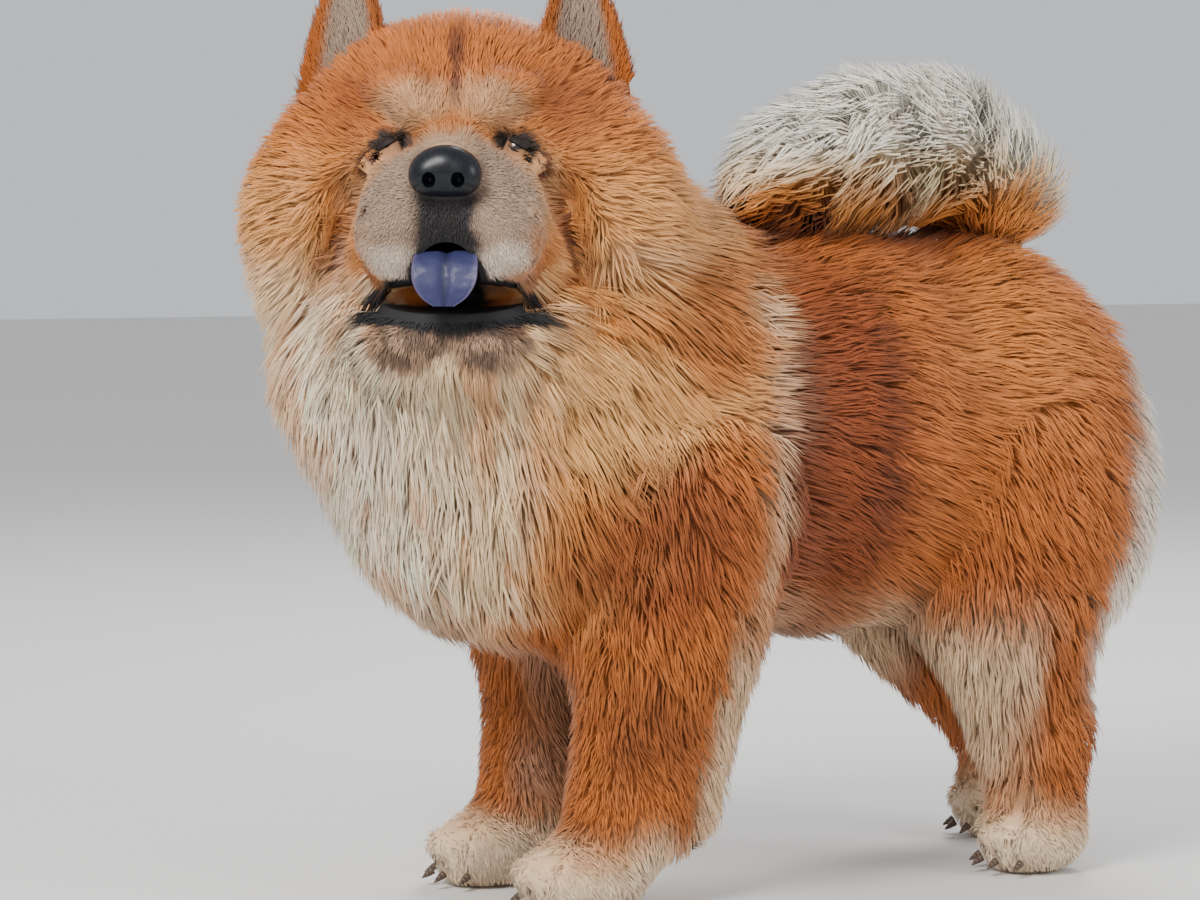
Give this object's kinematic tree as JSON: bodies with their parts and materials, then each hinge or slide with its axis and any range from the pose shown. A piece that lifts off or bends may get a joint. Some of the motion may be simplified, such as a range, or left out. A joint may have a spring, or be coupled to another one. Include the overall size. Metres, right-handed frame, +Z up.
{
  "type": "chow chow dog figure",
  "caption": "Life-size chow chow standing with its head turned to its left, thick mane, plumed tail curled over the back, tongue just out.",
  "frame": {"origin": "middle of the figure's own box, on the floor it stands on", "axes": "+Z up, the body faces -Y with the dog's left side at +X; the head is turned towards +X"},
  "size_m": [0.3554, 0.7524, 0.6947],
  "materials": {
    "torso": "long soft coat",
    "neck": "long soft coat",
    "head": "long soft coat",
    "lower_jaw": "long soft coat",
    "nose": "wet leather sheen",
    "tongue": "moist satin",
    "eye_left": "glossy, dark",
    "eye_right": "glossy, dark",
    "ear_left": "long soft coat",
    "ear_right": "long soft coat",
    "tail": "long soft coat",
    "fore_leg_left": "long soft coat",
    "fore_leg_right": "long soft coat",
    "hind_leg_left": "long soft coat",
    "hind_leg_right": "long soft coat"
  },
  "bodies": {
    "root": {"torso": "torso", "neck": "neck", "head": "head", "lower_jaw": "lower_jaw", "nose": "nose", "tongue": "tongue", "eye_left": "eye_left", "eye_right": "eye_right", "ear_left": "ear_left", "ear_right": "ear_right", "tail": "tail", "fore_leg_left": "fore_leg_left", "fore_leg_right": "fore_leg_right", "hind_leg_left": "hind_leg_left", "hind_leg_right": "hind_leg_right"}
  },
  "joints": []
}
